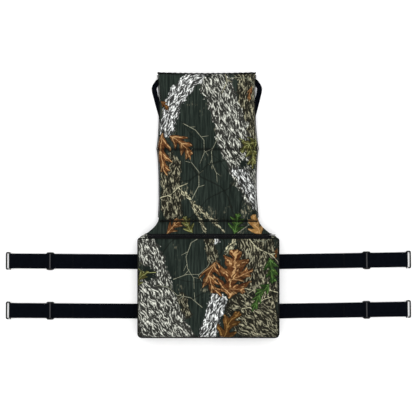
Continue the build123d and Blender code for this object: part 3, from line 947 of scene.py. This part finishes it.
def sew_seat(mats, cushion):
    """The cushion's two corded seams and its top stitching."""
    top, bottom = SEAT_HIGH.z, SEAT_LOW.z
    rope = round_section(WELT_RADIUS)
    for name, z, node_name in (("top_welt_cord", top - 0.0006, "seat_top_welt"),
                               ("bottom_welt_cord", bottom + 0.0030, "seat_bottom_welt")):
        loop = even_loop(seat_outline(-0.0004), 0.006)
        stations = []
        for i, (x, y) in enumerate(loop):
            ahead = Vector(loop[(i + 1) % len(loop)]) - Vector(loop[i - 1])
            out = Vector((ahead.y, -ahead.x, 0)).normalized()
            height = z + 0.0004 * math.sin(i * 0.7)
            if node_name == "seat_top_welt":
                # The rear stretch follows the bevel's upper edge, in front of the zip.
                back_off = max(0.0, y - (SEAT_REAR - 0.0132))
                y -= back_off
            stations.append(((x, y, height), out, (0, 0, 1)))
        cord = sweep(name, stations, rope, mats["binding"], closed=True)
        places = coordinates(cord.data)
        places[:, 2] = 0
        set_cloth_at(cord, places)
        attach(cord, "seat")
        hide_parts(node_name)

    route = [((x, y, top + 0.0012), (0, 0, 1)) for x, y in even_loop(seat_outline(0.007), 0.004)
             if y < SEAT_REAR - 0.020]
    split = max(range(len(route) - 1), key=lambda i: (Vector(route[i + 1][0]) - Vector(route[i][0])).length)
    route = route[split + 1:] + route[:split + 1]
    stitches("seat_top_stitches", on_surface(route, cushion), mats["thread"], body="seat")


def on_surface(route, piece):
    """Drops each point of a route on to a piece's upper surface."""
    graph = bpy.context.evaluated_depsgraph_get()
    body = piece.evaluated_get(graph)
    dropped = []
    for point, up in route:
        hit, place, normal, _ = body.ray_cast(Vector((point[0], point[1], 0.3)), Vector((0, 0, -1)))
        if hit:
            dropped.append((place, normal))
        else:
            dropped.append((Vector(point), Vector(up)))
    return dropped


# ---------------------------------------------------------------- backrest

LOWER_LOW, LOWER_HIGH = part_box("back_lower_front_cover")
UPPER_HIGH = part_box("back_upper_front_cover")[1]
CREASE_Y = (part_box("crease_seam_lower")[1].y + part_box("crease_seam_upper")[0].y) / 2
BACK_HALF = LOWER_HIGH.x
BACK_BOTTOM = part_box("back_lower_rear_cover")[0].z
BACK_TOP = LOWER_HIGH.z
TOP_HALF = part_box("top_binding")[1].x
BACK_START, BACK_END = LOWER_LOW.y - 0.001, UPPER_HIGH.y + 0.0005
SEAM_Z = BACK_BOTTOM + 0.45 * (BACK_TOP - BACK_BOTTOM)


def back_half(y):
    """Half the backrest's width at y: its sides pull in between the sewn lines."""
    if y < CREASE_Y:
        share = (y - LOWER_LOW.y) / (CREASE_Y - LOWER_LOW.y)
        pull = 0.0075 * math.sin(math.pi * min(1, max(0, share))) ** 0.55
        return BACK_HALF - 0.001 - pull
    share = (y - CREASE_Y) / (UPPER_HIGH.y - CREASE_Y)
    ends = BACK_HALF + (TOP_HALF - BACK_HALF) * share ** 0.5
    pull = 0.0065 * math.sin(math.pi * min(1, max(0, share))) ** 0.7
    return ends - pull


def back_lean(y):
    """The backrest lies a little off square."""
    return -0.0026 * max(0.0, min(1.0, (y + 0.05) / 0.1)) - 0.0030 * max(0.0, (y - CREASE_Y)) / 0.25


def bend_at_crease(piece):
    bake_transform(piece)


def make_back(mats):
    """The stuffed backrest: two panels with a sewn crease between them."""
    across, lengths = 56, 120
    verts = []
    for level in (1, -1):
        for j in range(lengths + 1):
            y = BACK_START + (BACK_END - BACK_START) * j / lengths
            half = back_half(y)
            for i in range(across + 1):
                s = -1 + 2 * i / across
                s = math.sin(s * math.pi / 2) * 0.45 + s * 0.55
                end = min(j, lengths - j) / lengths * (BACK_END - BACK_START)
                side = (1 - abs(s)) * half
                round_side = math.sqrt(max(0, 1 - (1 - min(1, side / 0.022)) ** 2))
                round_end = math.sqrt(max(0, 1 - (1 - min(1, end / 0.020)) ** 2))
                fold = math.exp(-((y - CREASE_Y) / 0.0065) ** 2)
                body = round_side * round_end
                if level > 0:
                    z = SEAM_Z + (BACK_TOP - SEAM_Z) * body * (1 - 0.52 * fold)
                else:
                    z = SEAM_Z - (SEAM_Z - BACK_BOTTOM) * body
                verts.append((s * half + back_lean(y), y, z))
    row = across + 1
    sheet = row * (lengths + 1)
    faces = []
    for j in range(lengths):
        for i in range(across):
            a = j * row + i
            faces.append((a, a + 1, a + row + 1, a + row))
            b = sheet + a
            faces.append((b, b + row, b + row + 1, b + 1))
    pad = mesh_object("back_pad", verts, faces, mats["back_print"])
    outward(pad, weld=0.00005)
    co = coordinates(pad.data)
    halves = np.array([back_half(y) for y in co[:, 1]])
    leans = np.array([back_lean(y) for y in co[:, 1]])
    side = halves - np.abs(co[:, 0] - leans)
    end = np.minimum(co[:, 1] - BACK_START, BACK_END - co[:, 1])
    sewn = (side < 0.001) | (end < 0.001) | (np.abs(co[:, 1] - CREASE_Y) < 0.003)
    sewn |= co[:, 2] < BACK_BOTTOM + 0.0004
    puff(pad, np.where(sewn, 1.0, 0.0), 3.5, 0.006)
    co = coordinates(pad.data)
    nor = normals(pad.data)
    up = np.clip(nor[:, 2], 0, 1)
    fade = np.exp(-np.abs(co[:, 1] - CREASE_Y) / 0.02) + np.exp(-side / 0.018) * 0.8 + 0.25
    stretched = co * np.array([1.0, 0.35, 1.0])
    wrinkle = pucker(stretched, 60.0, 0.0010, 5.0) * fade + pucker(co, 15.0, 0.0016, 9.0)
    co += nor * (wrinkle * up)[:, None]
    move_vertices(pad, co)
    subdivided(pad)
    pad.data.materials.append(mats["backing"])
    for face in pad.data.polygons:
        face.use_smooth = True
        face.material_index = 1 if face.normal.z < -0.35 and face.center.z < SEAM_Z - 0.002 else 0
    unroll(pad, BACK_TOP)
    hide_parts("back_lower_front_cover", "back_lower_rear_cover", "back_lower_foam",
                "back_upper_front_cover", "back_upper_rear_cover", "back_upper_foam",
                "crease_seam_lower", "crease_seam_upper")
    finish_back(mats, pad)


def finish_back(mats, pad):
    """Adds the pad's stitches, corded edges and top binding; the black bottom cord and top binding also stand
    in as painted shade at the pad's two ends.
    """
    sewn_x = np.linspace(-BACK_HALF + 0.012, BACK_HALF - 0.016, 60)
    crease_row = on_surface([((x, CREASE_Y, 0), (0, 0, 1)) for x in sewn_x], pad)
    bend_at_crease(pad)
    row_piece = stitches("crease_stitches", crease_row, mats["thread"])
    bend_at_crease(row_piece)

    for label, sign in (("left", -1), ("right", 1)):
        stations = [((sign * (back_half(y) + 0.0006) + back_lean(y), y, SEAM_Z), (sign, 0, 0), (0, 0, 1))
                    for y in np.linspace(BACK_START + 0.012, BACK_END - 0.006, 90)]
        cord = sweep(f"back_{label}_welt_cord", stations, round_section(0.0014), mats["binding"])
        bend_at_crease(cord)

    # A black corded edge along the pad's lower end; its dark line also stands in as painted shade for the
    # fold where the pad meets the flap.
    stations = []
    for i in range(61):
        x = -0.160 + 0.320 * i / 60
        height = SEAM_Z + 0.0050 + 0.0012 * math.sin(i * 0.75)
        stations.append(((x + back_lean(BACK_START), BACK_START - 0.0004, height), (0, 1, 0), (0, 0, 1)))
    cord = sweep("back_bottom_welt_and_shade_cord", stations, round_section(WELT_RADIUS), mats["binding"])
    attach(cord, "lower_back")

    # The black binding along the top edge; its dark line also stands in as painted shade for the panel's top
    # edge curving away from the light.
    low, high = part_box("top_binding")
    stations = []
    for i in range(61):
        x = low.x + (high.x - low.x) * i / 60
        sag = -0.0028 * math.cos(x / high.x * math.pi / 2) + 0.0007 * math.sin(i * 1.9)
        stations.append(((x + back_lean(high.y), high.y - 0.0016 + sag, SEAM_Z + 0.001 * math.sin(i * 0.8)),
                         (0, 0, 1), (0, 1, 0)))
    section = split_wide(rounded_section(0.016, 0.0036, 4), 4)
    binding = sweep("top_edge_binding_and_shade", stations, section, mats["binding"])
    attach(binding, "upper_back")
    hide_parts("top_binding")


def make_flap(mats):
    """The gathered cloth between the seat's zip and the backrest."""
    low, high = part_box("back_flap")
    columns, rows = 90, 18
    top_z = high.z + 0.0015
    verts, places = [], []
    end_y = high.y + 0.004
    for j in range(rows + 1):
        share = j / rows
        y = low.y + (end_y - low.y) * share
        base = top_z + (0.013 - top_z) * share
        spread = (1 - share) ** 1.7
        half = (BACK_HALF - 0.003) + (high.x - BACK_HALF + 0.003) * spread
        for i in range(columns + 1):
            s = -1 + 2 * i / columns
            x = s * half + back_lean(-0.05) * share
            gather = math.sin(s * 41 + 2.2 * math.sin(s * 9)) * 0.0011 * share
            belly = 0.004 * math.sin(math.pi * share)
            hem = -0.004 * abs(s) ** 6 * share
            verts.append((x, y, base + gather + belly + hem))
            places.append((x, y, 0))
    row = columns + 1
    faces = [(j * row + i, j * row + i + 1, (j + 1) * row + i + 1, (j + 1) * row + i)
             for j in range(rows) for i in range(columns)]
    flap = mesh_object("back_flap_cloth", verts, faces, mats["back_print"])
    set_cloth_at(flap, places)
    thick = flap.modifiers.new("thick", "SOLIDIFY")
    thick.thickness = 0.0012
    thick.offset = -1
    apply_modifiers(flap)
    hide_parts("back_flap")
    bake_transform(flap)


def carry_stations(sign):
    """The carry webbing's path at one side: out from behind the backrest, over its edge, down and in."""
    path = [
        ((0.1300, 0.4035, 0.0010), (0.00, 1.00, 0.00)),
        ((0.1485, 0.4045, 0.0011), (0.20, 0.98, 0.03)),
        ((0.1580, 0.4030, 0.0022), (0.62, 0.78, 0.10)),
        ((0.1652, 0.3940, 0.0036), (0.78, 0.62, 0.14)),
        ((0.1714, 0.3835, 0.0040), (0.90, 0.42, 0.10)),
        ((0.1722, 0.3735, 0.0030), (0.985, -0.15, 0.04)),
        ((0.1680, 0.3540, 0.0018), (0.965, -0.26, 0.00)),
        ((0.1600, 0.3230, 0.0011), (0.964, -0.267, 0.00)),
        ((0.1460, 0.2720, 0.0010), (0.964, -0.267, 0.00)),
        ((0.1270, 0.2010, 0.0010), (0.964, -0.267, 0.00)),
    ]
    points = [Vector((sign * p[0] + back_lean(p[1]), p[1], p[2])) for p, _ in path]
    wides = [Vector((sign * w[0], w[1], w[2])).normalized() for _, w in path]
    stations = []
    fine = 7
    for i in range(len(points) - 1):
        before = points[i - 1] if i else points[i] * 2 - points[i + 1]
        after = points[i + 2] if i + 2 < len(points) else points[i + 1] * 2 - points[i]
        for k in range(fine):
            t = k / fine
            here = 0.5 * ((2 * points[i]) + (points[i + 1] - before) * t
                          + (2 * before - 5 * points[i] + 4 * points[i + 1] - after) * t * t
                          + (3 * points[i] - before - 3 * points[i + 1] + after) * t ** 3)
            ahead = (points[i + 1] - points[i]).normalized()
            wide = wides[i].lerp(wides[i + 1], t)
            wide = (wide - ahead * wide.dot(ahead)).normalized()
            stations.append((here, wide, wide.cross(ahead)))
    return stations


def make_carry(mats):
    section = split_wide(rounded_section(0.0165, 0.0016), 6)
    for label, sign in (("left", -1), ("right", 1)):
        strap = sweep(f"{label}_carry_webbing", carry_stations(sign), section, mats["webbing"])
        lift_clear(strap, 0.0002)
        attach(strap, "upper_back")
        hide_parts(f"{label}_carry_strap")
    low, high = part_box("carry_band")
    middle = (low.y + high.y) / 2
    stations = [((x, middle, 0.0009), (0, 1, 0), (0, 0, 1)) for x in np.linspace(low.x, high.x, 60)]
    band = sweep("rear_carry_band", stations, split_wide(rounded_section(0.019, 0.0014), 6), mats["webbing"])
    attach(band, "upper_back")
    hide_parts("carry_band")


def lift_clear(piece, lowest):
    """Keeps a piece from dipping under the ground."""
    co = coordinates(piece.data)
    co[:, 2] = np.maximum(co[:, 2], lowest)
    move_vertices(piece, co)


# ---------------------------------------------------------------- zip

def make_zip(mats):
    """On the seat's bevelled rear edge: two tapes, and the two halves of the coil between them."""
    normal = Vector((0, 15, 12)).normalized()
    down = Vector((0, 12, -15)).normalized()
    for node in ("zip_tape_seat_side", "zip_tape_back_side"):
        low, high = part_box(node)
        stations = []
        for i in range(121):
            x = low.x + (high.x - low.x) * i / 120
            ripple = 0.0003 * math.sin(i * 0.9) + 0.0002 * math.sin(i * 2.3)
            centre = Vector((x, (low.y + high.y) / 2, (low.z + high.z) / 2)) + normal * ripple
            stations.append((centre, down, normal))
        section = split_wide(rounded_section(0.0080, 0.0008), 5)
        tape = sweep(node + "_cloth", stations, section, mats["zip_tape"])
        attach(tape, "seat")
        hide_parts(node)
    low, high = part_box("zip_coil")
    centre_y, centre_z = (low.y + high.y) / 2, (low.z + high.z) / 2
    for name, shift in (("zip_teeth_upper", -0.00055), ("zip_teeth_lower", 0.00055)):
        curve = bpy.data.curves.new(name, "CURVE")
        curve.dimensions = "3D"
        curve.bevel_depth = 0.00027
        curve.bevel_resolution = 1
        spline = curve.splines.new("POLY")
        pitch = 0.0016
        per_turn = 8
        turns = int((high.x - low.x) / pitch)
        spline.points.add(turns * per_turn - 1)
        for i, point in enumerate(spline.points):
            a = math.tau * i / per_turn
            place = Vector((low.x + pitch * i / per_turn, centre_y, centre_z))
            place += down * (shift + 0.00085 * math.cos(a)) + normal * (0.0008 * math.sin(a))
            point.co = (*place, 1)
        coil = new_object(name, curve)
        curve.materials.append(mats["nylon"])
        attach(coil, "seat")
        if name.endswith("upper"):
            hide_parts("zip_coil")


# ---------------------------------------------------------------- side straps

WEB_WIDTH = 0.0487
WEB_THICKNESS = 0.0015
MID_Z = 0.00415
# Distances out from the seat's edge: the rise off the ground, the buckled part, the loop and its tail.
RISE_START, RISE_END = 0.060, 0.200
LOOP_APEX, HOOK_BAR_AT, TAIL_START = 0.396, 0.4205, 0.212
BAR_RADIUS, BAR_GAP = 0.00225, 0.0002
# The bar tack that holds the tail: its two rows across the webbing, its ends and half its width.
TACK_ROWS, TACK_ENDS, TACK_HALF = (0.2136, 0.2166), (0.2130, 0.2172), 0.021


def strap_axes(side, row):
    """A strap's own origin and axes at the seat's edge, from its buckle slide's axis."""
    joints = {j["name"]: j for j in frame["joints"]}
    slide = joints[f"{side}_{row}_buckle_slide"]
    swing = joints[f"{side}_{row}_hook_swing"]
    out = Vector(slide["axis"]).normalized()
    bar = Vector(swing["pos_m"])
    origin = bar - out * HOOK_BAR_AT
    origin.z = 0
    return origin, out, Vector((-out.y, out.x, 0))


def strap_path():
    """The webbing's middle line seen from the side: distance out and height."""
    half = WEB_THICKNESS / 2
    upper = MID_Z + 0.00005 + half
    lower = MID_Z - 0.00005 - half
    points = [(0.0034 + 0.0566 * t / 6, half) for t in range(7)]
    rise = RISE_END - RISE_START
    points += [(RISE_START + rise * t / 12, half + (upper - half) * (0.5 - 0.5 * math.cos(math.pi * t / 12)))
               for t in range(1, 13)]
    points += [(RISE_END + (LOOP_APEX - RISE_END) * t / 14, upper) for t in range(1, 15)]
    radius = BAR_RADIUS + BAR_GAP + half
    reach = HOOK_BAR_AT - 0.003 - LOOP_APEX
    points += [(LOOP_APEX + reach * t / 4, upper + (radius + MID_Z - upper) * (t / 4) ** 1.4)
               for t in range(1, 5)]
    for k in range(1, 14):
        a = math.pi / 2 - math.pi * k / 14
        points.append((HOOK_BAR_AT + radius * math.cos(a), MID_Z + radius * math.sin(a)))
    points += [(LOOP_APEX + reach * (1 - t / 4), lower - (radius + lower - MID_Z) * (1 - t / 4) ** 1.4)
               for t in range(0, 5)]
    points += [(LOOP_APEX - (LOOP_APEX - TAIL_START) * t / 14, lower) for t in range(1, 15)]
    return points


def make_strap(side, row, mats):
    """One side strap: its webbing, the bend where it leaves the seat, and the bar tack on its tail."""
    name = f"{side}_{row}"
    body = f"{name}_webbing"
    origin, out, across = strap_axes(side, row)
    path = [origin + out * d + Vector((0, 0, z)) for d, z in strap_path()]
    stations = []
    for i, centre in enumerate(path):
        ahead = (path[min(i + 1, len(path) - 1)] - path[max(i - 1, 0)]).normalized()
        stations.append((centre, across, ahead.cross(across) * -1))
    section = split_wide(rounded_section(WEB_WIDTH, WEB_THICKNESS, 4), 10)
    strap = sweep(f"{name}_side_webbing", stations, section, mats["webbing"])
    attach(strap, body)
    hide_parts(f"{name}_strap")

    hinge = origin + out * 0.003
    bend = []
    for i in range(9):
        d = -0.004 + 0.012 * i / 8
        bend.append((hinge + out * d + Vector((0, 0, 0.00125)), across, Vector((0, 0, 1))))
    section = split_wide(rounded_section(WEB_WIDTH - 0.0006, 0.0017, 4), 6)
    root = sweep(f"{name}_edge_bend", bend, section, mats["webbing"])
    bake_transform(root)

    rows = []
    for distance in TACK_ROWS:
        run = []
        for t in np.linspace(-TACK_HALF, TACK_HALF, 24):
            run.append((origin + out * distance + across * t + Vector((0, 0, MID_Z + 0.0016)), (0, 0, 1)))
        rows.append(stitches(f"{name}_tack_{distance}", run, mats["thread"], 0.0024, 0.0019, 0.0003))
    for edge in (-1, 1):
        run = [(origin + out * d + across * edge * TACK_HALF + Vector((0, 0, MID_Z + 0.0016)), (0, 0, 1))
               for d in np.linspace(*TACK_ENDS, 4)]
        rows.append(stitches(f"{name}_tack_side{edge}", run, mats["thread"], 0.0024, 0.0019, 0.0003))
    tack = join_as(f"{name}_bar_tack", rows)
    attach(tack, body)


def make_cross_straps(mats):
    for row in ROWS:
        node = f"{row}_cross_strap"
        low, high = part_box(node)
        y = (low.y + high.y) / 2
        stations = [((x, y, 0.00075), (0, 1, 0), (0, 0, 1)) for x in np.linspace(low.x, high.x, 80)]
        strap = sweep(f"{row}_under_webbing", stations,
                      split_wide(rounded_section(WEB_WIDTH, WEB_THICKNESS, 4), 10), mats["webbing"])
        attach(strap, "seat")
        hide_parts(node)


def dress_hardware(mats):
    """The hard CAD parts keep their shape and get their materials and a little edge rounding."""
    # The slider's centre bar takes the steel whose lighter colour is painted highlight.
    finishes = {"_slider_bar": "highlit_bar_steel", "_slider": "steel", "_hook": "steel"}
    for name, node in frame["nodes"].items():
        finish = next((finishes[end] for end in finishes if name.endswith(end)), None)
        finish = {"zip_pull": "zinc", "zip_end_stops": "steel"}.get(name, finish)
        if finish is None:
            continue
        mat = mats[finish]
        node.data.materials.clear()
        node.data.materials.append(mat)
        node.data.polygons.foreach_set("use_smooth", [True] * len(node.data.polygons))
        soft = node.modifiers.new("edges", "BEVEL")
        soft.width = 0.00035
        soft.segments = 2
        soft.limit_method = "ANGLE"
        soft.angle_limit = math.radians(40)
        soft.harden_normals = False
        weighted = node.modifiers.new("normals", "WEIGHTED_NORMAL")
        weighted.keep_sharp = True


camera()
stage()
materials = make_materials()
make_seat(materials)
make_back(materials)
make_flap(materials)
make_carry(materials)
make_zip(materials)
for strap_side in SIDES:
    for strap_row in ROWS:
        make_strap(strap_side, strap_row, materials)
make_cross_straps(materials)
dress_hardware(materials)
